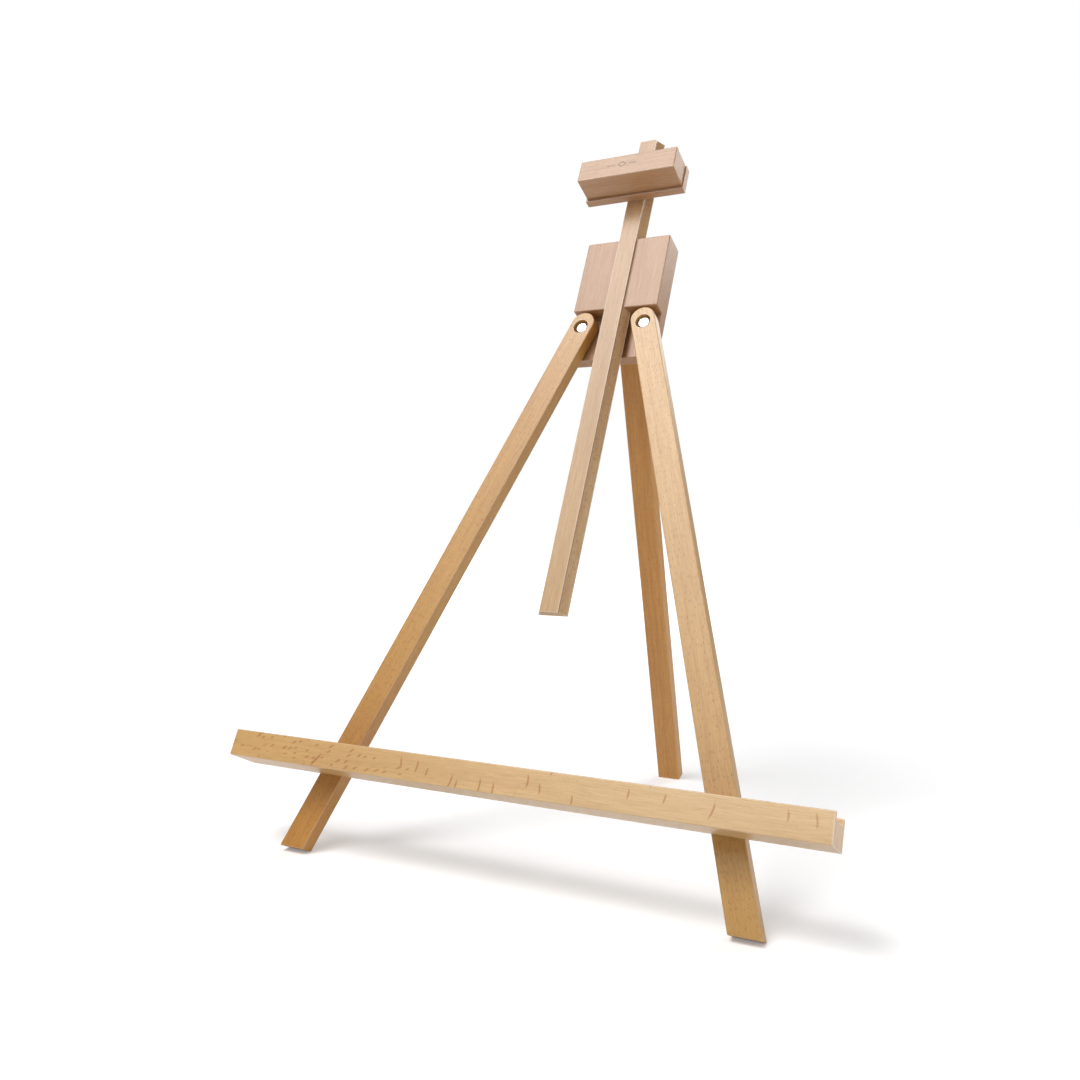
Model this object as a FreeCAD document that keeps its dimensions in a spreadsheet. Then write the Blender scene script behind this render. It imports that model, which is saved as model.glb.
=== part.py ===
"""Table-top artist's easel in beech: a grooved head, two spread front legs, a canvas tray,
a dovetailed mast with a canvas clamp, and one hinged rear leg.

Everything except the rear leg lies in one leaning plane, so the pieces are drawn in "easel axes" and
then tilted back together. In easel axes X runs to the right, Y runs backwards out of the plane and Z runs
up the plane. Y = 0 is the front face of the front legs and Z = 0 is where those legs end.
All lengths are in millimetres and all angles in degrees.
"""

import FreeCAD, Part
import math
import os
import Sketcher

X_AXIS = FreeCAD.Vector(1, 0, 0)
Y_AXIS = FreeCAD.Vector(0, 1, 0)
Z_AXIS = FreeCAD.Vector(0, 0, 1)

DRIVING_SIZES = [
    # stance
    ("lean_angle", 25.5),
    ("spread_angle", 17.9),
    ("open_angle", 40.0),
    # front legs
    ("leg_width", 20.0),
    ("leg_thickness", 11.0),
    ("leg_reach", 13.3),
    ("pivot_spacing", 54.0),
    ("pivot_height", 435.3),
    ("counterbore_diameter", 12.6),
    ("counterbore_depth", 4.2),
    ("edge_round", 0.8),
    # head
    ("head_width", 72.6),
    ("head_thickness", 22.0),
    ("head_bottom", 410.0),
    ("head_shoulder", 450.1),
    ("head_top", 518.0),
    ("rebate_depth", 12.0),
    # mast and its groove
    ("mast_face_width", 15.0),
    ("mast_back_width", 24.0),
    ("mast_rib_depth", 2.4),
    ("mast_tail_depth", 6.0),
    ("mast_bottom", 189.2),
    ("mast_top", 621.4),
    ("groove_gap", 0.25),
    # canvas clamp
    ("clamp_width", 85.0),
    ("clamp_depth", 22.3),
    ("clamp_height", 20.5),
    ("clamp_bottom", 558.8),
    ("clamp_plate_thickness", 7.0),
    ("clamp_plate_drop", 2.4),
    ("clamp_plate_overhang", 1.0),
    ("clamp_screw_pitch", 12.0),
    ("screw_recess_span", 4.4),
    ("screw_recess_slot", 1.0),
    ("screw_recess_depth", 1.7),
    # canvas tray
    ("tray_length", 440.0),
    ("tray_shift", 3.3),
    ("tray_depth", 29.3),
    ("tray_height", 19.2),
    ("tray_bottom", 54.6),
    ("tray_gap", 0.1),
    ("tray_lip", 4.6),
    ("tray_groove_depth", 4.6),
    # rear leg and its butt hinge
    ("rear_leg_width", 20.0),
    ("rear_leg_thickness", 11.0),
    ("hinge_height", 456.0),
    ("hinge_stand_off", 2.0),
    ("hinge_width", 18.0),
    ("hinge_leaf_length", 18.0),
    ("hinge_leaf_thickness", 1.0),
    ("hinge_barrel_diameter", 3.7),
    ("hinge_pin_diameter", 1.6),
    ("hinge_middle_width", 8.0),
    ("hinge_screw_diameter", 2.6),
    ("hinge_screw_length", 8.0),
    ("stop_gap", 0.03),
    # leg pivot bolts
    ("pivot_diameter", 6.0),
    ("pivot_head_diameter", 9.8),
    ("pivot_head_height", 2.2),
    ("pivot_washer_diameter", 14.0),
    ("nut_pocket_depth", 6.5),
    ("nut_width", 10.0),
    ("nut_height", 5.0),
    ("washer_thickness", 1.0),
    # tray wing bolts and their threaded inserts
    ("tray_bolt_diameter", 5.0),
    ("insert_diameter", 8.0),
    ("insert_length", 10.0),
    # mast lock
    ("lock_height", 500.0),
    ("lock_stud_diameter", 6.0),
    ("lock_insert_diameter", 10.0),
    ("lock_pad_diameter", 7.0),
    ("lock_pad_length", 3.0),
    ("knob_diameter", 27.0),
    ("knob_height", 11.0),
    # running fit on the radius, between turning metal pieces
    ("running_gap", 0.08),
]

DERIVED_SIZES = [
    ("lean_cos", "=cos(lean_angle)"),
    ("lean_sin", "=sin(lean_angle)"),
    ("spread_cos", "=cos(spread_angle)"),
    ("spread_tan", "=tan(spread_angle)"),
    ("open_cos", "=cos(open_angle)"),
    ("open_sin", "=sin(open_angle)"),
    # the tray's bolts run through the middle of its height
    ("tray_bolt_height", "=tray_bottom + tray_height / 2"),
    ("leg_to_tray_bolt", "=(pivot_height - tray_bolt_height) / spread_cos"),
    ("tray_bolt_spacing", "=pivot_spacing + 2 * (pivot_height - tray_bolt_height) * spread_tan"),
    ("leg_length", "=pivot_height / spread_cos"),
    # the hinge pin stands off the head's back face
    ("hinge_depth", "=head_thickness + hinge_stand_off"),
    # the front legs stand on their rounded back bottom edges
    ("floor_rise", "=leg_thickness * lean_sin - edge_round * (lean_sin + lean_cos - 1)"),
    # the rear leg's front bottom edge reaches the same floor
    (
        "rear_leg_length",
        "=((hinge_height + hinge_stand_off * open_sin) * lean_cos"
        " - (hinge_depth + hinge_stand_off * open_cos) * lean_sin + floor_rise)"
        " / cos(open_angle - lean_angle)",
    ),
    # front and back limits of the whole easel, to centre it on the origin
    ("front_limit", "=tray_bottom * lean_sin - (tray_depth + tray_gap) * lean_cos"),
    (
        "rear_foot_depth",
        "=hinge_depth + (hinge_stand_off + rear_leg_thickness) * open_cos + rear_leg_length * open_sin",
    ),
    (
        "rear_foot_height",
        "=hinge_height + (hinge_stand_off + rear_leg_thickness) * open_sin - rear_leg_length * open_cos",
    ),
    ("back_limit", "=rear_foot_depth * lean_cos + rear_foot_height * lean_sin"),
    ("depth_centre", "=(front_limit + back_limit) / 2"),
]


# ---------------------------------------------------------------- document and sheet


def make_sheet(document):
    """Lists every size in a spreadsheet, the driving ones first."""
    sheet = document.addObject("Spreadsheet::Sheet", "Sizes")
    rows = [(alias, str(value)) for alias, value in DRIVING_SIZES] + DERIVED_SIZES
    for row, (alias, content) in enumerate(rows, start=1):
        sheet.set(f"A{row}", alias)
        sheet.set(f"B{row}", content)
        sheet.setAlias(f"B{row}", alias)
    document.recompute()
    return sheet


def in_sheet(expression):
    """Points every alias in an expression at the sheet."""
    aliases = sorted((name for name, _ in DRIVING_SIZES + DERIVED_SIZES), key=len, reverse=True)
    text = expression
    for alias in aliases:
        pieces = text.split(alias)
        joined = pieces[0]
        for piece in pieces[1:]:
            inside_word = bool(joined) and (joined[-1].isalnum() or joined[-1] in "._")
            continues = bool(piece) and (piece[0].isalnum() or piece[0] == "_")
            joined += (alias if inside_word or continues else "Sizes." + alias) + piece
        text = joined
    return text


def number(expression):
    """The present value of an expression made of sheet aliases."""
    return float(sheet.evalExpression(in_sheet(expression)))


def easel_placement():
    """Tilts easel axes back, sets the feet on the floor and centres the overall width and depth."""
    base = FreeCAD.Vector(number("tray_shift"), -number("depth_centre"), number("floor_rise"))
    return FreeCAD.Placement(base, FreeCAD.Rotation(X_AXIS, -number("lean_angle")))


def placed(across, back, up, axis=Z_AXIS, angle=0.0):
    """A placement given in easel axes."""
    local = FreeCAD.Placement(FreeCAD.Vector(across, back, up), FreeCAD.Rotation(axis, angle))
    return easel_placement().multiply(local)


# ---------------------------------------------------------------- sketches and features


def new_body(name, placement):
    body = document.addObject("PartDesign::Body", name)
    body.Label = name
    body.Placement = placement
    return body


def new_sketch(body, name, plane, offset="0"):
    """A sketch on one of the body's own planes, moved along the plane's normal by offset."""
    sketch = body.newObject("Sketcher::SketchObject", name)
    plane_object = [item for item in body.Origin.OriginFeatures if item.Role == plane][0]
    sketch.AttachmentSupport = [(plane_object, "")]
    sketch.MapMode = "FlatFace"
    if offset != "0":
        sketch.setExpression("AttachmentOffset.Base.z", in_sheet(offset))
    return sketch


def bind(sketch, kind, references, expression):
    """Adds a driving dimension and ties it to the sheet."""
    index = sketch.addConstraint(Sketcher.Constraint(kind, *references, number(expression)))
    sketch.setExpression(f"Constraints[{index}]", in_sheet(expression))


def fix_point(sketch, geometry, point, across, along):
    """Holds a point of the sketch at two sizes measured from the sketch's origin."""
    if across == "0":
        sketch.addConstraint(Sketcher.Constraint("PointOnObject", geometry, point, -2))
    else:
        bind(sketch, "DistanceX", (-1, 1, geometry, point), across)
    if along == "0":
        sketch.addConstraint(Sketcher.Constraint("PointOnObject", geometry, point, -1))
    else:
        bind(sketch, "DistanceY", (-1, 1, geometry, point), along)


def add_corners(sketch, corners):
    """Draws a closed outline through corners given as pairs of expressions."""
    first = sketch.GeometryCount
    count = len(corners)
    spots = [FreeCAD.Vector(number(across), number(along), 0) for across, along in corners]
    for index in range(count):
        sketch.addGeometry(Part.LineSegment(spots[index], spots[(index + 1) % count]))
    for index in range(count):
        following = first + (index + 1) % count
        sketch.addConstraint(Sketcher.Constraint("Coincident", first + index, 2, following, 1))
    for index, (across, along) in enumerate(corners):
        fix_point(sketch, first + index, 1, across, along)


def corner_sketch(body, name, plane, corners, offset="0"):
    sketch = new_sketch(body, name, plane, offset)
    add_corners(sketch, corners)
    return sketch


def circle_sketch(body, name, plane, circles, offset="0"):
    """Circles given as (across, along, diameter)."""
    sketch = new_sketch(body, name, plane, offset)
    for across, along, diameter in circles:
        centre = FreeCAD.Vector(number(across), number(along), 0)
        geometry = sketch.addGeometry(Part.Circle(centre, Z_AXIS, number(diameter) / 2))
        bind(sketch, "Diameter", (geometry,), diameter)
        fix_point(sketch, geometry, 3, across, along)
    return sketch


def extrude(body, kind, sketch, length, flip=False, middle=False):
    """Pads or pockets a sketch. An XZ-plane pad grows forwards and an XZ-plane pocket cuts backwards."""
    feature = body.newObject("PartDesign::" + kind, sketch.Name + kind)
    feature.Profile = sketch
    feature.Reversed = flip
    if middle:
        feature.SideType = "Symmetric"
    if length == "through":
        feature.Type = "ThroughAll"
    else:
        feature.setExpression("Length", in_sheet(length))
    body.Tip = feature
    document.recompute()
    return feature


def pad(body, sketch, length, flip=False, middle=False):
    return extrude(body, "Pad", sketch, length, flip, middle)


def pocket(body, sketch, length, flip=False, middle=False):
    """Cuts a pocket and makes sure that it removed something."""
    before = body.Shape.Volume
    feature = extrude(body, "Pocket", sketch, length, flip, middle)
    if body.Shape.Volume >= before - 0.01:
        raise ValueError(f"{sketch.Name} cuts nothing from {body.Label}")
    return feature


def turned(name, placement, corners):
    """A body turned about its own Y axis, from an outline of (radius, distance along the axis)."""
    body = new_body(name, placement)
    sketch = corner_sketch(body, name + "_section", "XY_Plane", corners)
    revolution = body.newObject("PartDesign::Revolution", name + "_turning")
    revolution.Profile = sketch
    revolution.ReferenceAxis = (sketch, ["V_Axis"])
    revolution.Angle = 360
    body.Tip = revolution
    document.recompute()
    return body


def round_edges(body, radius, wanted):
    """Rounds the edges of the body's tip that the test picks out."""
    tip = body.Tip
    names = [f"Edge{index}" for index, edge in enumerate(tip.Shape.Edges, start=1) if wanted(edge)]
    fillet = body.newObject("PartDesign::Fillet", body.Name + "_rounding")
    fillet.Base = (tip, names)
    fillet.setExpression("Radius", in_sheet(radius))
    body.Tip = fillet
    document.recompute()


def is_straight(edge):
    return isinstance(edge.Curve, Part.Line)


def middle_of(edge):
    return edge.valueAt((edge.FirstParameter + edge.LastParameter) / 2)


def rectangle(half_width, low, high):
    return [
        (f"-({half_width})", low),
        (half_width, low),
        (half_width, high),
        (f"-({half_width})", high),
    ]


# ---------------------------------------------------------------- head


def make_head_block():
    """One beech block: full depth above the shoulder, rebated below it to carry the legs."""
    body = new_body("head_block", placed(0, 0, 0))
    side = corner_sketch(
        body,
        "head_side",
        "YZ_Plane",
        [
            ("0", "head_shoulder"),
            ("rebate_depth", "head_shoulder"),
            ("rebate_depth", "head_bottom"),
            ("head_thickness", "head_bottom"),
            ("head_thickness", "head_top"),
            ("0", "head_top"),
        ],
    )
    pad(body, side, "head_width", middle=True)
    round_edges(body, "edge_round", is_outer_head_edge)
    groove = corner_sketch(
        body,
        "head_groove",
        "XY_Plane",
        [
            ("-(mast_face_width / 2 + groove_gap)", "-5"),
            ("mast_face_width / 2 + groove_gap", "-5"),
            ("mast_face_width / 2 + groove_gap", "0"),
            ("mast_back_width / 2 + groove_gap", "mast_tail_depth + groove_gap"),
            ("-(mast_back_width / 2 + groove_gap)", "mast_tail_depth + groove_gap"),
            ("-(mast_face_width / 2 + groove_gap)", "0"),
        ],
        offset="head_top + 1",
    )
    pocket(body, groove, "head_top - head_shoulder + 2")
    bolt_holes = circle_sketch(
        body,
        "head_bolt_holes",
        "XZ_Plane",
        [
            ("-pivot_spacing / 2", "pivot_height", "pivot_diameter"),
            ("pivot_spacing / 2", "pivot_height", "pivot_diameter"),
        ],
    )
    pocket(body, bolt_holes, "head_thickness + 1")
    nut_pockets = circle_sketch(
        body,
        "head_nut_pockets",
        "XZ_Plane",
        [
            ("-pivot_spacing / 2", "pivot_height", "pivot_washer_diameter + 0.4"),
            ("pivot_spacing / 2", "pivot_height", "pivot_washer_diameter + 0.4"),
        ],
        offset="-head_thickness",
    )
    pocket(body, nut_pockets, "nut_pocket_depth", flip=True)
    lock_hole = circle_sketch(
        body,
        "head_lock_hole",
        "XZ_Plane",
        [("0", "lock_height", "lock_pad_diameter + 0.6")],
        offset="-head_thickness",
    )
    pocket(body, lock_hole, "head_thickness - mast_tail_depth", flip=True)
    insert_hole = circle_sketch(
        body,
        "head_insert_hole",
        "XZ_Plane",
        [("0", "lock_height", "lock_insert_diameter")],
        offset="-head_thickness",
    )
    pocket(body, insert_hole, "insert_length", flip=True)
    hinge_holes = circle_sketch(
        body,
        "head_hinge_holes",
        "XZ_Plane",
        [
            ("-hinge_width / 4", "hinge_height - hinge_leaf_length * 0.6", "hinge_screw_diameter"),
            ("hinge_width / 4", "hinge_height - hinge_leaf_length * 0.6", "hinge_screw_diameter"),
        ],
        offset="-head_thickness",
    )
    pocket(body, hinge_holes, "hinge_screw_length", flip=True)


def is_outer_head_edge(edge):
    """The block's outside edges, but not the inside corner under the shoulder."""
    middle = middle_of(edge)
    on_rebate = abs(middle.y - number("rebate_depth")) < 0.01
    at_shoulder = abs(middle.z - number("head_shoulder")) < 0.01
    return not (on_rebate and at_shoulder)


# ---------------------------------------------------------------- front legs and their pivots


def make_front_leg(name, side):
    """A straight leg drawn upright about its pivot, rounded at the top and cut level at the foot."""
    across = side * number("pivot_spacing") / 2
    angle = -side * number("spread_angle")
    body = new_body(name, placed(across, 0, number("pivot_height"), Y_AXIS, angle))
    outline = new_sketch(body, name + "_outline", "XZ_Plane")
    cap = "leg_reach - leg_width / 2"
    long_side = "-(leg_length + leg_width / 2 * spread_tan)"
    short_side = "-(leg_length - leg_width / 2 * spread_tan)"
    left_end, right_end = (short_side, long_side) if side > 0 else (long_side, short_side)
    corners = [
        ("-leg_width / 2", cap),
        ("-leg_width / 2", left_end),
        ("leg_width / 2", right_end),
        ("leg_width / 2", cap),
    ]
    spots = [FreeCAD.Vector(number(x), number(z), 0) for x, z in corners]
    for start, end in zip(spots, spots[1:]):
        outline.addGeometry(Part.LineSegment(start, end))
    centre = FreeCAD.Vector(0, number(cap), 0)
    top_circle = Part.Circle(centre, Z_AXIS, number("leg_width / 2"))
    outline.addGeometry(Part.ArcOfCircle(top_circle, 0, math.pi))
    outline.addConstraint(Sketcher.Constraint("Coincident", 0, 2, 1, 1))
    outline.addConstraint(Sketcher.Constraint("Coincident", 1, 2, 2, 1))
    outline.addConstraint(Sketcher.Constraint("Coincident", 2, 2, 3, 1))
    outline.addConstraint(Sketcher.Constraint("Coincident", 3, 2, 0, 1))
    fix_point(outline, 0, 1, *corners[0])
    fix_point(outline, 1, 1, *corners[1])
    fix_point(outline, 2, 1, *corners[2])
    fix_point(outline, 3, 1, *corners[3])
    bind(outline, "DistanceY", (-1, 1, 3, 3), cap)
    pad(body, outline, "leg_thickness", flip=True)
    round_edges(body, "edge_round", lambda edge: True)
    bolt_hole = circle_sketch(
        body, name + "_pivot_hole", "XZ_Plane", [("0", "0", "pivot_diameter + 2 * running_gap")]
    )
    pocket(body, bolt_hole, "leg_thickness + 1")
    counterbore = circle_sketch(
        body, name + "_counterbore", "XZ_Plane", [("0", "0", "counterbore_diameter")]
    )
    pocket(body, counterbore, "counterbore_depth")
    tray_hole = circle_sketch(
        body,
        name + "_tray_hole",
        "XZ_Plane",
        [("0", "-leg_to_tray_bolt", "tray_bolt_diameter + 2 * running_gap")],
    )
    pocket(body, tray_hole, "leg_thickness + 1")


def pivot_placement(side, back):
    return placed(side * number("pivot_spacing") / 2, back, number("pivot_height"))


def make_pivot_bolt(name, side):
    """A plated bolt whose low round head sits in the leg's counterbore."""
    turned(
        name,
        pivot_placement(side, 0),
        [
            ("0", "counterbore_depth - 0.05 - pivot_head_height + 0.25"),
            ("pivot_head_diameter * 0.2", "counterbore_depth - 0.05 - pivot_head_height + 0.25"),
            ("pivot_head_diameter * 0.24", "counterbore_depth - 0.05 - pivot_head_height"),
            ("pivot_head_diameter * 0.4", "counterbore_depth - 0.05 - pivot_head_height + 0.1"),
            ("pivot_head_diameter / 2", "counterbore_depth - 0.05 - pivot_head_height + 0.7"),
            ("pivot_head_diameter / 2", "counterbore_depth - 0.05"),
            ("pivot_diameter / 2", "counterbore_depth - 0.05"),
            ("pivot_diameter / 2", "head_thickness - 0.9"),
            ("pivot_diameter / 2 - 0.5", "head_thickness - 0.4"),
            ("0", "head_thickness - 0.4"),
        ],
    )


def make_pivot_spacer(name, side):
    """The washer between a leg and the head, slightly thinner than the room it has."""
    turned(
        name,
        pivot_placement(side, 0),
        [
            ("pivot_diameter / 2", "leg_thickness + 0.1"),
            ("pivot_washer_diameter / 2", "leg_thickness + 0.1"),
            ("pivot_washer_diameter / 2", "rebate_depth"),
            ("pivot_diameter / 2", "rebate_depth"),
        ],
    )


def make_pivot_back_washer(name, side):
    """The washer under the nut, at the bottom of the pocket in the head's back."""
    turned(
        name,
        pivot_placement(side, number("head_thickness - nut_pocket_depth")),
        [
            ("pivot_diameter / 2", "0"),
            ("pivot_washer_diameter / 2", "0"),
            ("pivot_washer_diameter / 2", "washer_thickness"),
            ("pivot_diameter / 2", "washer_thickness"),
        ],
    )


def make_pivot_nut(name, side):
    body = new_body(name, pivot_placement(side, number("head_thickness - nut_pocket_depth")))
    corner = "nut_width / sqrt(3)"
    hexagon = corner_sketch(
        body,
        name + "_hexagon",
        "XZ_Plane",
        [
            (corner, "0"),
            (f"{corner} / 2", "nut_width / 2"),
            (f"-{corner} / 2", "nut_width / 2"),
            (f"-{corner}", "0"),
            (f"-{corner} / 2", "-nut_width / 2"),
            (f"{corner} / 2", "-nut_width / 2"),
        ],
        offset="-washer_thickness",
    )
    pad(body, hexagon, "nut_height", flip=True)
    bore = circle_sketch(body, name + "_bore", "XZ_Plane", [("0", "0", "pivot_diameter")])
    pocket(body, bore, "nut_height + washer_thickness + 1")


# ---------------------------------------------------------------- mast and canvas clamp


def make_mast():
    """A long rail: a narrow rib in front of the head and a dovetail that runs in the head's groove."""
    body = new_body("mast", placed(0, 0, 0))
    section = corner_sketch(
        body,
        "mast_section",
        "XY_Plane",
        [
            ("-mast_face_width / 2", "-mast_rib_depth"),
            ("mast_face_width / 2", "-mast_rib_depth"),
            ("mast_face_width / 2", "0"),
            ("mast_back_width / 2", "mast_tail_depth"),
            ("-mast_back_width / 2", "mast_tail_depth"),
            ("-mast_face_width / 2", "0"),
        ],
        offset="mast_bottom",
    )
    pad(body, section, "mast_top - mast_bottom")
    screw_holes = circle_sketch(body, "mast_screw_holes", "XZ_Plane", clamp_screw_circles("4.2"))
    pocket(body, screw_holes, "through", middle=True)
    countersinks = circle_sketch(
        body,
        "mast_countersinks",
        "XZ_Plane",
        clamp_screw_circles("8.2"),
        offset="-mast_tail_depth",
    )
    sink = pocket(body, countersinks, "2.4", flip=True)
    sink.TaperAngle = -40
    document.recompute()


def clamp_screw_circles(diameter):
    """The two screws that hold the clamp, one above the other on the mast's centre line."""
    middle = "clamp_bottom + clamp_height / 2"
    return [
        ("0", f"{middle} - clamp_screw_pitch / 2", diameter),
        ("0", f"{middle} + clamp_screw_pitch / 2", diameter),
    ]


def make_clamp_back_plate():
    """The strip between the clamp block and the mast. It hangs a little below the block."""
    body = new_body("clamp_back_plate", placed(0, 0, 0))
    outline = corner_sketch(
        body,
        "clamp_plate_outline",
        "XZ_Plane",
        rectangle(
            "clamp_width / 2 + clamp_plate_overhang",
            "clamp_bottom - clamp_plate_drop",
            "clamp_bottom + clamp_height",
        ),
        offset="mast_rib_depth",
    )
    pad(body, outline, "clamp_plate_thickness")
    round_edges(body, "edge_round / 2", is_straight)
    holes = circle_sketch(body, "clamp_plate_holes", "XZ_Plane", clamp_screw_circles("4.2"))
    pocket(body, holes, "through", middle=True)


def make_clamp_block():
    """The block that reaches over the canvas's top edge."""
    body = new_body("clamp_block", placed(0, 0, 0))
    outline = corner_sketch(
        body,
        "clamp_block_outline",
        "XZ_Plane",
        rectangle("clamp_width / 2", "clamp_bottom", "clamp_bottom + clamp_height"),
        offset="mast_rib_depth + clamp_plate_thickness",
    )
    pad(body, outline, "clamp_depth")
    round_edges(body, "edge_round", is_straight)
    pilots = circle_sketch(
        body,
        "clamp_block_pilots",
        "XZ_Plane",
        clamp_screw_circles("3.9"),
        offset="mast_rib_depth + clamp_plate_thickness",
    )
    pocket(body, pilots, "14", flip=True)


def make_clamp_screw(name, step):
    """A countersunk cross-head wood screw, driven from behind through the mast and the plate
    into the block.
    """
    height = number("clamp_bottom + clamp_height / 2") + step * number("clamp_screw_pitch") / 2
    body = turned(
        name,
        placed(0, number("mast_tail_depth"), height),
        [
            ("0", "-0.3"),
            ("3.75", "-0.3"),
            ("1.95", "-2.2"),
            ("1.95", "-(mast_tail_depth + mast_rib_depth + clamp_plate_thickness + 10)"),
            ("0", "-(mast_tail_depth + mast_rib_depth + clamp_plate_thickness + 13)"),
        ],
    )
    arm = "screw_recess_span / 2"
    side = "screw_recess_slot / 2"
    recess = corner_sketch(
        body,
        name + "_recess",
        "XZ_Plane",
        [
            (arm, side),
            (side, side),
            (side, arm),
            (f"-{side}", arm),
            (f"-{side}", side),
            (f"-{arm}", side),
            (f"-{arm}", f"-{side}"),
            (f"-{side}", f"-{side}"),
            (f"-{side}", f"-{arm}"),
            (side, f"-{arm}"),
            (side, f"-{side}"),
            (arm, f"-{side}"),
        ],
    )
    pocket(body, recess, "screw_recess_depth", flip=True)


# ---------------------------------------------------------------- canvas tray


def make_tray():
    """A bar with a shallow groove along its top, between a front lip and a rear rail."""
    body = new_body("tray", placed(-number("tray_shift"), 0, 0))
    section = corner_sketch(
        body,
        "tray_section",
        "YZ_Plane",
        [
            ("-(tray_depth + tray_gap)", "tray_bottom"),
            ("-tray_gap", "tray_bottom"),
            ("-tray_gap", "tray_bottom + tray_height"),
            ("-(tray_gap + tray_lip)", "tray_bottom + tray_height"),
            ("-(tray_gap + tray_lip)", "tray_bottom + tray_height - tray_groove_depth"),
            ("-(tray_depth + tray_gap - tray_lip)", "tray_bottom + tray_height - tray_groove_depth"),
            ("-(tray_depth + tray_gap - tray_lip)", "tray_bottom + tray_height"),
            ("-(tray_depth + tray_gap)", "tray_bottom + tray_height"),
        ],
    )
    pad(body, section, "tray_length", middle=True)
    round_edges(body, "edge_round", is_outer_tray_edge)
    insert_holes = circle_sketch(
        body,
        "tray_insert_holes",
        "XZ_Plane",
        [
            ("tray_shift - tray_bolt_spacing / 2", "tray_bolt_height", "insert_diameter"),
            ("tray_shift + tray_bolt_spacing / 2", "tray_bolt_height", "insert_diameter"),
        ],
    )
    pocket(body, insert_holes, "insert_length + tray_gap + 1", flip=True)


def is_outer_tray_edge(edge):
    """The bar's long outside edges, not the two at the bottom of the groove."""
    middle = middle_of(edge)
    floor = number("tray_bottom + tray_height - tray_groove_depth")
    long_edge = edge.Length > number("tray_length") / 2
    return long_edge and abs(middle.z - floor) > 0.01


def make_tray_insert(name, side):
    """A threaded brass insert pressed into the tray's back."""
    turned(
        name,
        placed(side * number("tray_bolt_spacing") / 2, -number("tray_gap"), number("tray_bolt_height")),
        [
            ("tray_bolt_diameter / 2 + running_gap", "-0.2"),
            ("insert_diameter / 2", "-0.2"),
            ("insert_diameter / 2", "-insert_length"),
            ("tray_bolt_diameter / 2 + running_gap", "-insert_length"),
        ],
    )


def make_tray_washer(name, side):
    """The washer between a leg's back and the wing bolt's hub."""
    turned(
        name,
        tray_bolt_placement(side),
        [
            ("tray_bolt_diameter / 2 + running_gap", "0.05"),
            ("tray_bolt_diameter * 1.1", "0.05"),
            ("tray_bolt_diameter * 1.1", "washer_thickness"),
            ("tray_bolt_diameter / 2 + running_gap", "washer_thickness"),
        ],
    )


def tray_bolt_placement(side):
    """On the tray bolt's axis at the leg's back face, turned to the leg's own direction."""
    across = side * number("tray_bolt_spacing") / 2
    angle = -side * number("spread_angle")
    return placed(across, number("leg_thickness"), number("tray_bolt_height"), Y_AXIS, angle)


def make_wing_bolt(name, side, reach):
    """A wing bolt driven by hand from behind the leg. Its wings lie along the leg when tight."""
    body = turned(
        name,
        tray_bolt_placement(side),
        [
            ("0", f"-({reach})"),
            ("tray_bolt_diameter / 2 - 0.5", f"-({reach})"),
            ("tray_bolt_diameter / 2", f"-({reach}) + 0.5"),
            ("tray_bolt_diameter / 2", "washer_thickness + 0.05"),
            ("tray_bolt_diameter * 0.9", "washer_thickness + 0.05"),
            ("tray_bolt_diameter * 0.8", "washer_thickness + 5"),
            ("0", "washer_thickness + 5.5"),
        ],
    )
    wings = corner_sketch(
        body,
        name + "_wings",
        "YZ_Plane",
        [
            ("washer_thickness + 1", "-3.6"),
            ("washer_thickness + 4.5", "-8.4"),
            ("washer_thickness + 9.5", "-9.6"),
            ("washer_thickness + 11", "-8"),
            ("washer_thickness + 10.2", "-6.2"),
            ("washer_thickness + 5", "-2"),
            ("washer_thickness + 5", "2"),
            ("washer_thickness + 10.2", "6.2"),
            ("washer_thickness + 11", "8"),
            ("washer_thickness + 9.5", "9.6"),
            ("washer_thickness + 4.5", "8.4"),
            ("washer_thickness + 1", "3.6"),
        ],
    )
    pad(body, wings, "2.2", middle=True)
    round_edges(body, "0.6", is_wing_rim_edge)


def is_wing_rim_edge(edge):
    """The rims of both wings' flat sides, clear of the hub."""
    middle = middle_of(edge)
    return is_straight(edge) and abs(abs(middle.x) - 1.1) < 0.01 and abs(middle.z) > 4.5


# ---------------------------------------------------------------- rear leg and its hinge


def hinge_placement(angle=0.0):
    return placed(0, number("hinge_depth"), number("hinge_height"), X_AXIS, angle)


def make_rear_leg():
    """Drawn upright behind its hinge pin. Its sloping top end meets the head's back when it is open."""
    body = new_body("rear_leg", hinge_placement(number("open_angle")))
    bevel = "({} * open_cos + hinge_stand_off - stop_gap) / open_sin"
    front = "hinge_stand_off"
    back = "(hinge_stand_off + rear_leg_thickness)"
    blunt = f"({bevel.format(back)} - 2.5)"
    outline = corner_sketch(
        body,
        "rear_leg_outline",
        "YZ_Plane",
        [
            (front, "-rear_leg_length"),
            (back, "-rear_leg_length"),
            (back, blunt),
            (f"({blunt} * open_sin - hinge_stand_off + stop_gap) / open_cos", blunt),
            (front, bevel.format(front)),
        ],
    )
    pad(body, outline, "rear_leg_width", middle=True)
    limit = number("hinge_stand_off") + 1
    round_edges(
        body,
        "edge_round",
        lambda edge: edge.Length > 100 or middle_of(edge).z < -100 and middle_of(edge).y > limit,
    )
    screw_holes = circle_sketch(
        body,
        "rear_leg_screw_holes",
        "XZ_Plane",
        [
            ("-hinge_width / 4", "-hinge_leaf_length * 0.6", "hinge_screw_diameter"),
            ("hinge_width / 4", "-hinge_leaf_length * 0.6", "hinge_screw_diameter"),
        ],
    )
    pocket(body, screw_holes, "hinge_stand_off + hinge_screw_length")


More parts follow.
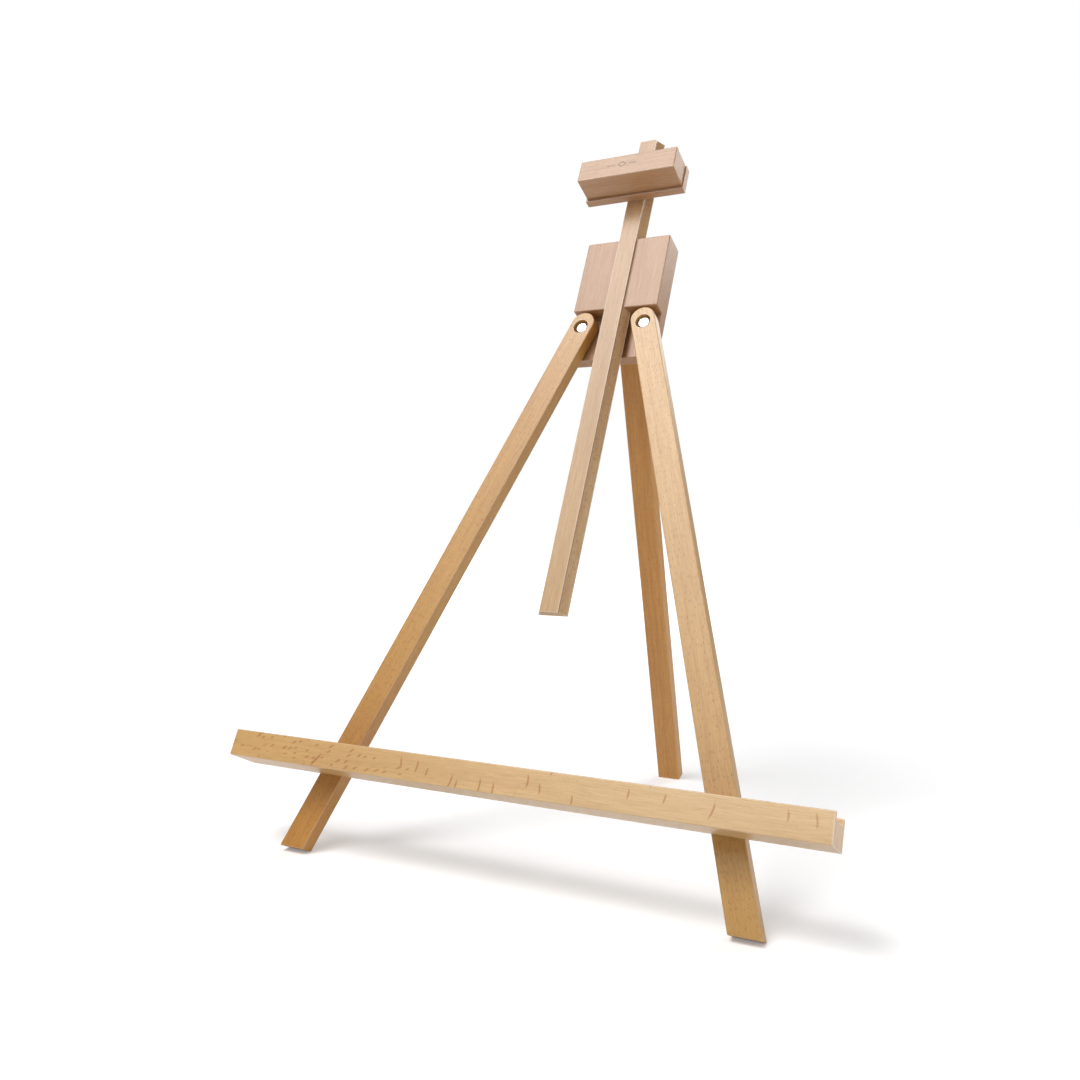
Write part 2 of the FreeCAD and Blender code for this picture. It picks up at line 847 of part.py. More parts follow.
def make_hinge_leaf(name, placement, facing, bore, ends):
    """A leaf screwed against wood at one side of the pin, facing -1 for the head and 1 for the leg.

    A leaf with ends keeps the barrel's two outer knuckles, the other one keeps the middle knuckle.
    """
    body = new_body(name, placement)
    inner = f"{facing} * (hinge_stand_off - hinge_leaf_thickness)"
    outer = f"{facing} * hinge_stand_off"
    section = corner_sketch(
        body,
        name + "_section",
        "YZ_Plane",
        [(inner, "-hinge_leaf_length"), (outer, "-hinge_leaf_length"), (outer, "0"), (inner, "0")],
    )
    pad(body, section, "hinge_width", middle=True)
    barrel = circle_sketch(
        body, name + "_barrel", "YZ_Plane", [("0", "0", "hinge_barrel_diameter")]
    )
    pad(body, barrel, "hinge_width", middle=True)
    lower, upper = "-(hinge_stand_off + 0.4)", "hinge_stand_off + 0.4"
    if ends:
        window = new_sketch(body, name + "_window", "XZ_Plane")
        add_corners(window, rectangle("hinge_middle_width / 2 + 0.15", lower, upper))
    else:
        window = new_sketch(body, name + "_window", "XZ_Plane")
        near, far = "hinge_middle_width / 2 - 0.15", "hinge_width / 2 + 1"
        add_corners(window, [(near, lower), (far, lower), (far, upper), (near, upper)])
        add_corners(
            window,
            [(f"-({far})", lower), (f"-({near})", lower), (f"-({near})", upper), (f"-({far})", upper)],
        )
    pocket(body, window, "through", middle=True)
    pin_bore = circle_sketch(body, name + "_pin_bore", "YZ_Plane", [("0", "0", bore)])
    pocket(body, pin_bore, "through", middle=True)
    screw_holes = circle_sketch(
        body,
        name + "_screw_holes",
        "XZ_Plane",
        [
            ("-hinge_width / 4", "-hinge_leaf_length * 0.6", "hinge_screw_diameter"),
            ("hinge_width / 4", "-hinge_leaf_length * 0.6", "hinge_screw_diameter"),
        ],
    )
    pocket(body, screw_holes, "through", middle=True)


def make_hinge_pin():
    body = new_body("hinge_pin", hinge_placement())
    circle = circle_sketch(body, "hinge_pin_circle", "YZ_Plane", [("0", "0", "hinge_pin_diameter")])
    pad(body, circle, "hinge_width", middle=True)


def make_hinge_screw(name, placement, side, facing):
    """A round-headed wood screw through a hinge leaf."""
    offset = FreeCAD.Placement(
        FreeCAD.Vector(
            side * number("hinge_width") / 4,
            facing * number("hinge_stand_off"),
            -number("hinge_leaf_length") * 0.6,
        ),
        FreeCAD.Rotation(),
    )
    shank = "hinge_screw_diameter / 2"
    turned(
        name,
        placement.multiply(offset),
        [
            ("0", f"-{facing} * (hinge_leaf_thickness + 0.6)"),
            (shank, f"-{facing} * (hinge_leaf_thickness + 0.6)"),
            (f"{shank} + 0.9", f"-{facing} * (hinge_leaf_thickness + 0.3)"),
            (f"{shank} + 0.9", f"-{facing} * hinge_leaf_thickness"),
            (shank, f"-{facing} * hinge_leaf_thickness"),
            (shank, f"{facing} * (hinge_screw_length - 2)"),
            ("0", f"{facing} * (hinge_screw_length - 0.2)"),
        ],
    )


# ---------------------------------------------------------------- mast lock


def lock_placement(back):
    return placed(0, back, number("lock_height"))


def make_lock_insert():
    """The threaded brass insert in the head's back."""
    turned(
        "lock_insert",
        lock_placement(number("head_thickness")),
        [
            ("lock_stud_diameter / 2 + running_gap", "-0.2"),
            ("lock_insert_diameter / 2", "-0.2"),
            ("lock_insert_diameter / 2", "-insert_length"),
            ("lock_stud_diameter / 2 + running_gap", "-insert_length"),
        ],
    )


def make_lock_pad():
    """The nylon pad that bears on the mast's back. The stud turns in its socket."""
    turned(
        "lock_pad",
        lock_placement(number("mast_tail_depth")),
        [
            ("0", "0.02"),
            ("lock_pad_diameter / 2", "0.02"),
            ("lock_pad_diameter / 2", "lock_pad_length"),
            ("lock_stud_diameter / 4 + running_gap", "lock_pad_length"),
            ("lock_stud_diameter / 4 + running_gap", "lock_pad_length / 2"),
            ("0", "lock_pad_length / 2"),
        ],
    )


def make_lock_stud():
    """The threaded stud, with a turned-down tip that seats in the pad."""
    knob_base = "head_thickness - mast_tail_depth + 3"
    turned(
        "lock_stud",
        lock_placement(number("mast_tail_depth")),
        [
            ("0", "lock_pad_length / 2 + 0.02"),
            ("lock_stud_diameter / 4", "lock_pad_length / 2 + 0.02"),
            ("lock_stud_diameter / 4", "lock_pad_length + 0.05"),
            ("lock_stud_diameter / 2", "lock_pad_length + 0.05"),
            ("lock_stud_diameter / 2", f"{knob_base} + knob_height * 0.7"),
            ("0", f"{knob_base} + knob_height * 0.7"),
        ],
    )


def make_lock_knob():
    """A six-lobed black knob moulded round the end of the stud."""
    body = new_body("lock_knob", lock_placement(number("head_thickness + 3")))
    disc = circle_sketch(body, "lock_knob_disc", "XZ_Plane", [("0", "0", "knob_diameter")])
    pad(body, disc, "knob_height", flip=True)
    scallop = circle_sketch(
        body, "lock_knob_scallop", "XZ_Plane", [("0", "knob_diameter * 0.58", "knob_diameter * 0.36")]
    )
    cut = pocket(body, scallop, "knob_height + 1")
    pattern = body.newObject("PartDesign::PolarPattern", "lock_knob_scallops")
    pattern.Originals = [cut]
    pattern.Axis = ([item for item in body.Origin.OriginFeatures if item.Role == "Y_Axis"][0], [""])
    pattern.Angle = 360
    pattern.Occurrences = 6
    body.Tip = pattern
    document.recompute()
    round_edges(body, "1.2", lambda edge: middle_of(edge).y > number("knob_height") - 0.1)
    bore = circle_sketch(body, "lock_knob_bore", "XZ_Plane", [("0", "0", "lock_stud_diameter")])
    pocket(body, bore, "knob_height * 0.7")


# ---------------------------------------------------------------- assembly


def make_easel():
    make_head_block()
    for side, word in ((-1, "left"), (1, "right")):
        make_front_leg(f"{word}_front_leg", side)
        make_pivot_bolt(f"{word}_pivot_bolt", side)
        make_pivot_spacer(f"{word}_pivot_spacer", side)
        make_pivot_back_washer(f"{word}_pivot_back_washer", side)
        make_pivot_nut(f"{word}_pivot_nut", side)
        make_tray_insert(f"{word}_tray_insert", side)
        make_tray_washer(f"{word}_tray_washer", side)
        make_hinge_screw(f"hinge_head_screw_{word}", hinge_placement(), side, -1)
        make_hinge_screw(f"hinge_leg_screw_{word}", hinge_placement(number("open_angle")), side, 1)
    # the left wing bolt is threaded into the tray, the right one stops short of it
    make_wing_bolt("left_wing_bolt", -1, "leg_thickness + insert_length - 1")
    make_wing_bolt("right_wing_bolt", 1, "leg_thickness - 0.4")
    make_tray()
    make_mast()
    make_clamp_back_plate()
    make_clamp_block()
    make_clamp_screw("clamp_screw_upper", 1)
    make_clamp_screw("clamp_screw_lower", -1)
    make_rear_leg()
    make_hinge_leaf("hinge_head_leaf", hinge_placement(), -1, "hinge_pin_diameter", ends=True)
    make_hinge_leaf(
        "hinge_leg_leaf",
        hinge_placement(number("open_angle")),
        1,
        "hinge_pin_diameter + 2 * running_gap",
        ends=False,
    )
    make_hinge_pin()
    make_lock_insert()
    make_lock_pad()
    make_lock_stud()
    make_lock_knob()


def check_and_write():
    """Stops on any faulty object, then writes one STEP file per piece."""
    for item in document.Objects:
        if "Invalid" in item.State or "Error" in item.State:
            raise ValueError(f"{item.Label} is {item.State}")
    os.makedirs("parts", exist_ok=True)
    pieces = [item for item in document.Objects if item.TypeId == "PartDesign::Body"]
    for piece in pieces:
        shape = piece.Shape
        if shape.isNull() or not shape.isValid() or shape.Volume <= 0:
            raise ValueError(f"{piece.Label} has no valid shape")
        shape.exportStep(f"parts/{piece.Label}.step")
    print(len(pieces), "pieces written")


document = FreeCAD.newDocument("easel")
sheet = make_sheet(document)
make_easel()
document.recompute()
check_and_write()
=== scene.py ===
import math

import bmesh
import bpy
from mathutils import Matrix, Vector


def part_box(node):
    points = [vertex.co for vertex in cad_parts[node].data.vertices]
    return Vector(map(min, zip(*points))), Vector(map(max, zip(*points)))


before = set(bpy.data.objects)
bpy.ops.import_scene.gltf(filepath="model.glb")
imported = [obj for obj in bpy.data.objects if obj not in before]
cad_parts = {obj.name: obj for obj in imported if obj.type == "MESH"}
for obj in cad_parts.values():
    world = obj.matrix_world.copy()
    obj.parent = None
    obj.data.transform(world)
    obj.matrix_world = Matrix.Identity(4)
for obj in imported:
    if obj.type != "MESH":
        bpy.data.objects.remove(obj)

# The wooden table easel: beech, metal and plastic on its CAD parts, in a plain white studio.

LEAN = math.radians(25.5)  # of the front frame, back from upright
SPREAD = math.radians(17.9)  # of each front leg, out from the middle
OPEN = math.radians(40.0)  # between the front frame and the rear leg

# what each feature of the wood multiplies the board's tone by
DRIFT = (0.93, 0.90, 0.86, 1)
RING = (0.90, 0.84, 0.76, 1)
STREAK = (0.86, 0.79, 0.70, 1)
FIBRE = (0.88, 0.82, 0.74, 1)
PORE = (0.70, 0.60, 0.48, 1)
DASH = (0.66, 0.42, 0.13, 1)
FLAKE = (0.68, 0.37, 0.06, 1)
END_RING = (0.84, 0.75, 0.64, 1)
END_PORE = (0.78, 0.68, 0.56, 1)

WORN_EDGE_AND_HIGHLIGHT = (1.0, 0.93, 0.84, 1)  # screened onto the sharp edges: partly wear, partly a painted highlight along them
EDGE_WEAR_AND_HIGHLIGHT_WIDTH = 0.0010
BURNED = (0.16, 0.085, 0.045, 1)  # takes the tone's place where the wood is burned

# how far each feature stands out of the surface, in units of WOOD_RELIEF metres
FIBRE_RISE = 0.5
PORE_RISE = -0.6
RAY_RISE = -0.2
BURN_RISE = -2.0
WOOD_RELIEF = 0.0002

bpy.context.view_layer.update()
scene = bpy.context.scene


# ---------------------------------------------------------------- directions on the leaning easel


def leaning(across, back, up):
    """A direction given in the front frame's leaning axes, turned into the part's upright ones."""
    return Vector(
        (
            across,
            back * math.cos(LEAN) + up * math.sin(LEAN),
            up * math.cos(LEAN) - back * math.sin(LEAN),
        )
    )


RIGHT = leaning(1, 0, 0)
BACK = leaning(0, 1, 0)
UP = leaning(0, 0, 1)
LEFT_LEG_UP = leaning(math.sin(SPREAD), 0, math.cos(SPREAD))
RIGHT_LEG_UP = leaning(-math.sin(SPREAD), 0, math.cos(SPREAD))
REAR_LEG_UP = leaning(0, -math.sin(OPEN), math.cos(OPEN))


# ---------------------------------------------------------------- node helpers


class Graph:
    """A small helper for building a material's node tree."""

    def __init__(self, name):
        self.material = bpy.data.materials.new(name)
        self.material.use_nodes = True
        self.tree = self.material.node_tree
        self.tree.nodes.clear()
        output = self.tree.nodes.new("ShaderNodeOutputMaterial")
        self.shader = self.tree.nodes.new("ShaderNodeBsdfPrincipled")
        self.link(self.shader.outputs["BSDF"], output.inputs["Surface"])

    def link(self, source, target):
        self.tree.links.new(source, target)

    def feed(self, socket, value):
        """Sets a socket to a number or colour, or links another node's output to it."""
        if isinstance(value, bpy.types.NodeSocket):
            self.link(value, socket)
        else:
            socket.default_value = value

    def math(self, operation, first, second=0.0, third=0.0):
        node = self.tree.nodes.new("ShaderNodeMath")
        node.operation = operation
        self.feed(node.inputs[0], first)
        self.feed(node.inputs[1], second)
        self.feed(node.inputs[2], third)
        return node.outputs[0]

    def smooth(self, value, low, high, start=0.0, end=1.0):
        """Maps low..high to start..end with soft shoulders, clamped at both ends."""
        node = self.tree.nodes.new("ShaderNodeMapRange")
        node.interpolation_type = "SMOOTHSTEP"
        self.feed(node.inputs["Value"], value)
        node.inputs["From Min"].default_value = low
        node.inputs["From Max"].default_value = high
        node.inputs["To Min"].default_value = start
        node.inputs["To Max"].default_value = end
        return node.outputs["Result"]

    def mix(self, amount, first, second, blend="MIX"):
        node = self.tree.nodes.new("ShaderNodeMix")
        node.data_type = "RGBA"
        node.blend_type = blend
        self.feed(node.inputs["Factor"], amount)
        self.feed(node.inputs["A"], first)
        self.feed(node.inputs["B"], second)
        return node.outputs["Result"]

    def combine(self, x, y, z):
        node = self.tree.nodes.new("ShaderNodeCombineXYZ")
        self.feed(node.inputs[0], x)
        self.feed(node.inputs[1], y)
        self.feed(node.inputs[2], z)
        return node.outputs[0]

    def dot(self, first, second):
        node = self.tree.nodes.new("ShaderNodeVectorMath")
        node.operation = "DOT_PRODUCT"
        self.feed(node.inputs[0], first)
        self.feed(node.inputs[1], second)
        return node.outputs["Value"]

    def noise(self, vector, scale=1.0, detail=2.0, roughness=0.5):
        node = self.tree.nodes.new("ShaderNodeTexNoise")
        self.feed(node.inputs["Vector"], vector)
        node.inputs["Scale"].default_value = scale
        node.inputs["Detail"].default_value = detail
        node.inputs["Roughness"].default_value = roughness
        return node.outputs["Fac"]

    def cells(self, vector):
        """Flat cells one unit apart; each has its own centre and its own random colour."""
        node = self.tree.nodes.new("ShaderNodeTexVoronoi")
        node.voronoi_dimensions = "2D"
        self.feed(node.inputs["Vector"], vector)
        node.inputs["Scale"].default_value = 1.0
        node.inputs["Randomness"].default_value = 0.9
        return node

    def position(self):
        node = self.tree.nodes.new("ShaderNodeTexCoord")
        return node.outputs["Object"]

    def surface_normal(self):
        node = self.tree.nodes.new("ShaderNodeTexCoord")
        return node.outputs["Normal"]

    def bump(self, height, strength, distance):
        node = self.tree.nodes.new("ShaderNodeBump")
        self.feed(node.inputs["Height"], height)
        node.inputs["Strength"].default_value = strength
        node.inputs["Distance"].default_value = distance
        return node.outputs["Normal"]


def rgb(red, green, blue):
    """An sRGB colour on the 0..255 scale, as Blender's linear colour."""

    def linear(value):
        share = value / 255
        return share / 12.92 if share <= 0.04045 else ((share + 0.055) / 1.055) ** 2.4

    return (linear(red), linear(green), linear(blue), 1.0)


# ---------------------------------------------------------------- beech


def across(first, second):
    """The direction square to both."""
    return Vector(first).cross(Vector(second)).normalized()


def scattered_strokes(graph, run, width, pitch, stroke, lean=0.0, bow=0.0, share=0.5):
    """Short strokes scattered over a face, at most one to a cell of the given pitch.

    run and width are the face coordinates along and across a stroke, pitch and stroke are
    (along, across) sizes in metres, lean tilts the strokes, bow bends them and share is how many
    cells have one.
    """
    run_pitch, width_pitch = pitch
    half_run, half_width = stroke
    tilt_range = 0.5
    shortest = 0.4
    run_cells = graph.math("DIVIDE", run, run_pitch)
    width_cells = graph.math("DIVIDE", width, width_pitch)
    cells = graph.cells(graph.combine(run_cells, width_cells, 0.0))
    centre = cells.outputs["Position"]
    chance = cells.outputs["Color"]
    presence_chance = graph.dot(chance, (1, 0, 0))
    length_chance = graph.dot(chance, (0, 1, 0))
    tilt_chance = graph.dot(chance, (0, 0, 1))

    off_run = graph.math("SUBTRACT", run_cells, graph.dot(centre, (1, 0, 0)))
    off_run = graph.math("MULTIPLY", off_run, run_pitch)
    off_width = graph.math("SUBTRACT", width_cells, graph.dot(centre, (0, 1, 0)))
    off_width = graph.math("MULTIPLY", off_width, width_pitch)
    tilt = graph.math("MULTIPLY_ADD", tilt_chance, tilt_range, lean - tilt_range / 2)
    off_width = graph.math("MULTIPLY_ADD", off_run, graph.math("MULTIPLY", tilt, -1.0), off_width)
    bend = graph.math("MULTIPLY", graph.math("MULTIPLY", off_run, off_run), bow)
    off_width = graph.math("ADD", off_width, bend)

    spare = half_run * (1 - shortest)
    reach = graph.math("MULTIPLY_ADD", length_chance, spare, half_run * shortest)
    drawn = tapered_stroke(graph, off_run, off_width, reach, half_width)
    present = graph.smooth(graph.math("ADD", presence_chance, share), 1.0, 1.15)
    return graph.math("MULTIPLY", drawn, present)


def tapered_stroke(graph, off_run, off_width, half_run, half_width):
    """One soft stroke, thinner and fainter towards its ends, from the distances to its middle."""
    thinnest = 0.3
    run_share = graph.math("DIVIDE", graph.math("ABSOLUTE", off_run), half_run)
    taper = graph.smooth(run_share, 0.3, 1.0, start=1.0, end=0.0)
    spare = half_width * (1 - thinnest)
    thin = graph.math("MULTIPLY_ADD", taper, spare, half_width * thinnest)
    width_share = graph.math("DIVIDE", graph.math("ABSOLUTE", off_width), thin)
    body = graph.smooth(width_share, 0.4, 1.0, start=1.0, end=0.0)
    return graph.math("MULTIPLY", body, taper)


class Board:
    """The grain of one board: its directions, the place in it and the noises that follow it.

    along is the grain direction and quarter the normal of the faces where the medullary rays show
    as flakes. Each seed starts the noises in another place, so it gives a different figure.
    """

    def __init__(self, graph, along, quarter, seed):
        self.graph = graph
        self.along = along.normalized()
        self.quarter = quarter.normalized()
        self.flat = across(along, quarter)
        self.start = seed * 1.37
        self.facing = graph.surface_normal()
        spot = graph.position()
        self.lengthwise = graph.dot(spot, self.along)
        self.sideways = graph.dot(spot, self.flat)
        self.depth = graph.dot(spot, self.quarter)

        # the grain wanders gently, so no line in it is ruler straight
        side_wander = 0.006
        depth_wander = 0.004
        self.grain_side = self.sideways
        self.grain_depth = self.depth
        wander = graph.math("SUBTRACT", self.noise((5.0, 14.0, 14.0)), 0.5)
        self.grain_side = graph.math("MULTIPLY_ADD", wander, side_wander, self.sideways)
        self.grain_depth = graph.math("MULTIPLY_ADD", wander, depth_wander, self.depth)

        self.streaks = self.noise((16.0, 700.0, 700.0), shift=5.0, detail=3.0, roughness=0.65)
        self.fibres = self.noise((70.0, 1700.0, 1700.0), shift=7.0, roughness=0.6)
        open_grain = self.noise((430.0, 4300.0, 4300.0), shift=9.0, detail=1.0)
        self.pores = graph.smooth(open_grain, 0.62, 0.78)

    def noise(self, scales, shift=0.0, detail=2.0, roughness=0.5):
        """Noise scaled separately along the board, across its flat side and into it."""
        length_scale, side_scale, depth_scale = scales
        start = self.start
        vector = self.graph.combine(
            self.graph.math("MULTIPLY_ADD", self.lengthwise, length_scale, start + shift),
            self.graph.math("MULTIPLY_ADD", self.grain_side, side_scale, start),
            self.graph.math("MULTIPLY_ADD", self.grain_depth, depth_scale, start),
        )
        return self.graph.noise(vector, detail=detail, roughness=roughness)

    def faces(self, direction, low=0.6, high=0.8):
        """1 on the faces square to a direction, falling to 0 on the others."""
        turned = self.graph.math("ABSOLUTE", self.graph.dot(self.facing, direction))
        return self.graph.smooth(turned, low, high)


def long_grain(graph, board, tone, figure):
    """The colour of the faces along the grain: slow drift, rings, streaks, fibres and pores."""
    drift = graph.smooth(board.noise((6.0, 40.0, 40.0)), 0.3, 0.7)
    base = graph.mix(graph.math("MULTIPLY", drift, drift), tone, DRIFT, "MULTIPLY")
    rings = board.noise((2.5, 190.0, 420.0), shift=3.0, detail=3.0, roughness=0.6)
    ring_share = graph.smooth(rings, 0.42, 0.70, end=figure)
    base = graph.mix(ring_share, base, RING, "MULTIPLY")
    streak_share = graph.smooth(board.streaks, 0.40, 0.72, end=figure)
    base = graph.mix(streak_share, base, STREAK, "MULTIPLY")
    base = graph.mix(graph.smooth(board.fibres, 0.35, 0.70), base, FIBRE, "MULTIPLY")
    return graph.mix(board.pores, base, PORE, "MULTIPLY")


def ray_dashes(graph, board):
    """Medullary rays cut end on: short dark dashes along the grain of the flat faces."""
    dash_pitch = (0.0055, 0.0019)
    dash_size = (0.0019, 0.00042)
    dash = scattered_strokes(
        graph, board.lengthwise, board.grain_depth, dash_pitch, dash_size, share=0.60
    )
    return graph.math("MULTIPLY", dash, board.faces(board.flat))


def end_grain(graph, board, tone, pores):
    """The colour of the cut ends: darker, with open pores and faint ring arcs."""
    rings = graph.smooth(board.noise((0.0, 120.0, 900.0)), 0.40, 0.65)
    end = graph.mix(rings, tone, END_RING, "MULTIPLY")
    return graph.mix(pores, end, END_PORE, "MULTIPLY")


def satin_finish(graph, board, on_end, edge_wear_and_highlight, gloss):
    """A satin coat, duller in the pores and on the ends and smoother where hands wear it."""
    rough = graph.math("MULTIPLY_ADD", board.streaks, 0.16, 0.36)
    rough = graph.math("MULTIPLY_ADD", board.pores, 0.15, rough)
    rough = graph.math("MULTIPLY_ADD", on_end, 0.12, rough)
    rough = graph.math("MULTIPLY_ADD", edge_wear_and_highlight, -0.06, rough)
    graph.feed(graph.shader.inputs["Roughness"], rough)
    graph.shader.inputs["Specular IOR Level"].default_value = 0.4 + 0.4 * gloss
    graph.shader.inputs["Coat Weight"].default_value = gloss
    graph.shader.inputs["Coat Roughness"].default_value = 0.40


def beech(name, along, quarter, seed, tone, dashes, figure, gloss, flakes=None, mark=None):
    """Oiled beech. along, quarter and seed are the board's, as in Board.

    tone is a colour, or tone(graph, lengthwise) for one that changes along the board.
    dashes and figure say how strongly the dashes and the growth rings and streaks show, and gloss
    how much satin finish is left on the wood, from 0 to 1.
    flakes(graph, lengthwise, sideways) draws a board's own flakes and mark(graph) a burned mark.
    """
    graph = Graph(name)
    board = Board(graph, along, quarter, seed)
    if callable(tone):
        tone = tone(graph, board.lengthwise)
    base = long_grain(graph, board, tone, figure)
    sunk = graph.math("MULTIPLY", board.pores, PORE_RISE)
    height = graph.math("MULTIPLY_ADD", board.fibres, FIBRE_RISE, sunk)

    dash = ray_dashes(graph, board)
    base = graph.mix(graph.math("MULTIPLY", dash, dashes), base, DASH, "MULTIPLY")
    height = graph.math("MULTIPLY_ADD", dash, RAY_RISE, height)

    # rays cut along their length show as flakes
    if flakes is not None:
        flake = flakes(graph, board.lengthwise, board.sideways)
        flake = graph.math("MULTIPLY", flake, board.faces(board.quarter))
        base = graph.mix(flake, base, FLAKE, "MULTIPLY")
        height = graph.math("MULTIPLY_ADD", flake, RAY_RISE, height)

    on_end = board.faces(board.along, 0.72, 0.90)
    end_pores = graph.smooth(board.noise((0.0, 2600.0, 2600.0)), 0.50, 0.70)
    base = graph.mix(on_end, base, end_grain(graph, board, tone, end_pores))
    open_ends = graph.math("MULTIPLY", end_pores, on_end)
    height = graph.math("MULTIPLY_ADD", open_ends, PORE_RISE, height)

    # the sharp edges are lightened: partly wear, partly a painted highlight along them
    edge_wear_and_highlight = worn_and_highlit_edges(graph, EDGE_WEAR_AND_HIGHLIGHT_WIDTH)
    base = graph.mix(graph.math("MULTIPLY", edge_wear_and_highlight, 0.5), base, WORN_EDGE_AND_HIGHLIGHT, "SCREEN")
    if mark is not None:
        burn = mark(graph)
        base = graph.mix(burn, base, BURNED)
        height = graph.math("MULTIPLY_ADD", burn, BURN_RISE, height)

    graph.feed(graph.shader.inputs["Base Color"], base)
    graph.feed(graph.shader.inputs["Normal"], graph.bump(height, 0.30, WOOD_RELIEF))
    satin_finish(graph, board, on_end, edge_wear_and_highlight, gloss)
    return graph.material


def worn_and_highlit_edges(graph, radius):
    """1 on the sharp edges, falling to 0 on the faces: the mask of the edge wear and the painted
    edge highlight.
    """
    edge = graph.tree.nodes.new("ShaderNodeBevel")
    edge.samples = 4
    edge.inputs["Radius"].default_value = radius
    geometry = graph.tree.nodes.new("ShaderNodeNewGeometry")
    turned = graph.dot(edge.outputs["Normal"], geometry.outputs["Normal"])
    return graph.smooth(turned, 0.88, 0.995, start=1.0, end=0.0)


# ---------------------------------------------------------------- metals and plastics


def metal(name, colour, roughness, seed, brushed=0.0, grime=0.3):
    """Plated or machined metal with faint brushing, blotches in the gloss and a little grime."""
    graph = Graph(name)
    spot = graph.position()
    blotch = graph.noise(spot, 260.0 + seed, detail=4.0, roughness=0.6)
    fine = graph.noise(spot, 2600.0 + seed, detail=3.0, roughness=0.6)
    across_brushing = 7000.0
    along_brushing = 500.0
    streak_spot = graph.combine(
        graph.math("MULTIPLY", graph.dot(spot, RIGHT), across_brushing),
        graph.math("MULTIPLY", graph.dot(spot, UP), along_brushing),
        graph.math("MULTIPLY", graph.dot(spot, BACK), across_brushing),
    )
    streaks = graph.noise(streak_spot)
    red, green, blue = colour
    shade = graph.mix(
        graph.smooth(blotch, 0.45, 0.75, end=grime),
        rgb(red, green, blue),
        rgb(red * 0.72, green * 0.70, blue * 0.66),
    )
    graph.feed(graph.shader.inputs["Base Color"], shade)
    graph.shader.inputs["Metallic"].default_value = 1.0
    rough = graph.math("MULTIPLY_ADD", blotch, 0.18, roughness)
    rough = graph.math("MULTIPLY_ADD", streaks, brushed * 0.2, rough)
    graph.feed(graph.shader.inputs["Roughness"], rough)
    height = graph.math("MULTIPLY_ADD", streaks, brushed, fine)
    graph.feed(graph.shader.inputs["Normal"], graph.bump(height, 0.12, 0.0001))
    return graph.material


def plastic(name, colour, roughness):
    """Moulded plastic with a fine spark-eroded grain and slight gloss variation."""
    graph = Graph(name)
    spot = graph.position()
    grain = graph.noise(spot, 3200.0, detail=3.0, roughness=0.7)
    smear = graph.noise(spot, 120.0, detail=3.0)
    red, green, blue = colour
    shade = graph.mix(
        graph.smooth(smear, 0.4, 0.7, end=0.5),
        rgb(red, green, blue),
        rgb(red * 1.25 + 3, green * 1.25 + 3, blue * 1.25 + 3),
    )
    graph.feed(graph.shader.inputs["Base Color"], shade)
    rough = graph.math("MULTIPLY_ADD", smear, 0.2, roughness)
    graph.feed(graph.shader.inputs["Roughness"], rough)
    graph.feed(graph.shader.inputs["Normal"], graph.bump(grain, 0.2, 0.00008))
    return graph.material


# ---------------------------------------------------------------- dressing the CAD nodes


def dress(node, material):
    """Gives a CAD node its material."""
    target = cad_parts[node]
    target.data.materials.clear()
    target.data.materials.append(material)


# the tones of the boards; the two ends of each fade below differ partly by painted light and shade
PINK = rgb(177, 132, 90)
ROSE = rgb(184, 142, 103)
PALE = rgb(189, 151, 108)
CREAM = rgb(200, 164, 116)
AMBER = rgb(192, 136, 52)
HONEY = rgb(199, 150, 74)
OCHRE = rgb(188, 143, 66)
STRAW = rgb(205, 162, 96)
BROWN = rgb(209, 152, 74)
GOLD = rgb(210, 165, 95)
SAND = rgb(218, 181, 126)


def fading(first, second, start, end):
    """A tone that changes along the board, from first at start to second at end; here the change
    is partly the wood's and partly painted light and shade.
    """

    def tone(graph, lengthwise):
        return graph.mix(graph.smooth(lengthwise, start, end), first, second)

    return tone


def small_flakes(graph, lengthwise, sideways):
    """Small slanting flakes towards the tray's left end."""
    pitch = (0.0042, 0.0085)
    size = (0.0021, 0.0015)
    share = graph.smooth(lengthwise, -0.13, -0.02, start=0.70, end=0.0)
    return scattered_strokes(graph, sideways, lengthwise, pitch, size, lean=1.1, share=share)


def tall_flakes(graph, lengthwise, above_middle):
    """Tall bowed flakes in one row, most of them near the middle of the tray."""
    pitch = (0.0190, 0.0120)
    size = (0.0090, 0.00085)
    row = graph.math("SUBTRACT", above_middle, 0.0050)
    from_middle = graph.math("ABSOLUTE", graph.math("SUBTRACT", lengthwise, 0.03))
    share = graph.smooth(from_middle, 0.09, 0.15, start=0.75, end=0.12)
    return scattered_strokes(
        graph, row, lengthwise, pitch, size, lean=0.05, bow=30.0, share=share
    )


def drying_split(graph, lengthwise, above_middle):
    """One short slanting split at the tray's lower edge, near its left end."""
    slant = 0.75
    above_split = graph.math("ADD", above_middle, 0.0045)
    along_split = graph.math("ADD", lengthwise, 0.1405)
    along_split = graph.math("MULTIPLY_ADD", above_split, -slant, along_split)
    return tapered_stroke(graph, above_split, along_split, 0.0060, 0.0010)


def tray_flakes(graph, lengthwise, sideways):
    """All the marks across the grain of the tray's front."""
    low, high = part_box("tray")
    middle = (low + high).dot(UP) / 2
    above_middle = graph.math("SUBTRACT", sideways, middle)
    small = graph.math("MULTIPLY", small_flakes(graph, lengthwise, sideways), 0.8)
    tall = graph.math("MULTIPLY", tall_flakes(graph, lengthwise, above_middle), 0.85)
    split = graph.math("MULTIPLY", drying_split(graph, lengthwise, above_middle), 1.5)
    return graph.math("MAXIMUM", split, graph.math("MAXIMUM", small, tall))


